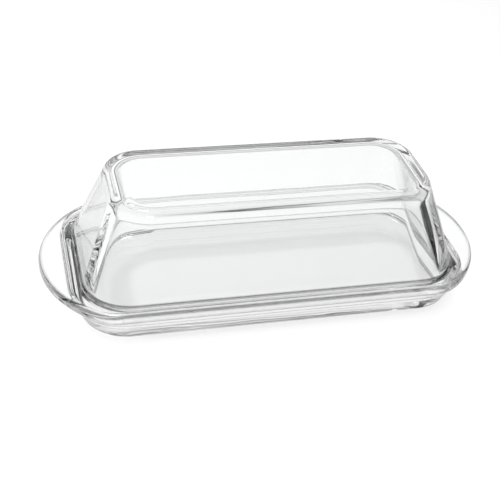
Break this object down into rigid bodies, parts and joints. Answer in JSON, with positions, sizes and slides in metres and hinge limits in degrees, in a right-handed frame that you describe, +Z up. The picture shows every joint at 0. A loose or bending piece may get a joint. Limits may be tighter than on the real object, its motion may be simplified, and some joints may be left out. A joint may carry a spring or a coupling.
{
  "type": "butter dish",
  "caption": "Clear pressed-glass butter dish: an oblong tray with half-moon end handles and a deep sloping cover that lifts off.",
  "frame": {"origin": "middle of the foot's flat underside, on the plane the dish stands on", "axes": "+X along the two handles, +Y across the dish, +Z up, the way the cover lifts off"},
  "size_m": [0.203, 0.0874, 0.0547],
  "materials": {
    "base_glass": "clear fire-polished soda-lime glass",
    "cover_glass": "clear fire-polished soda-lime glass"
  },
  "bodies": {
    "dish": {"base": "base_glass"},
    "lid": {"cover": "cover_glass"}
  },
  "joints": [
    {"name": "cover_lift", "type": "slide", "parent": "dish", "child": "lid", "axis": [0, 0, 1], "range_m": [0, 0.08]}
  ]
}
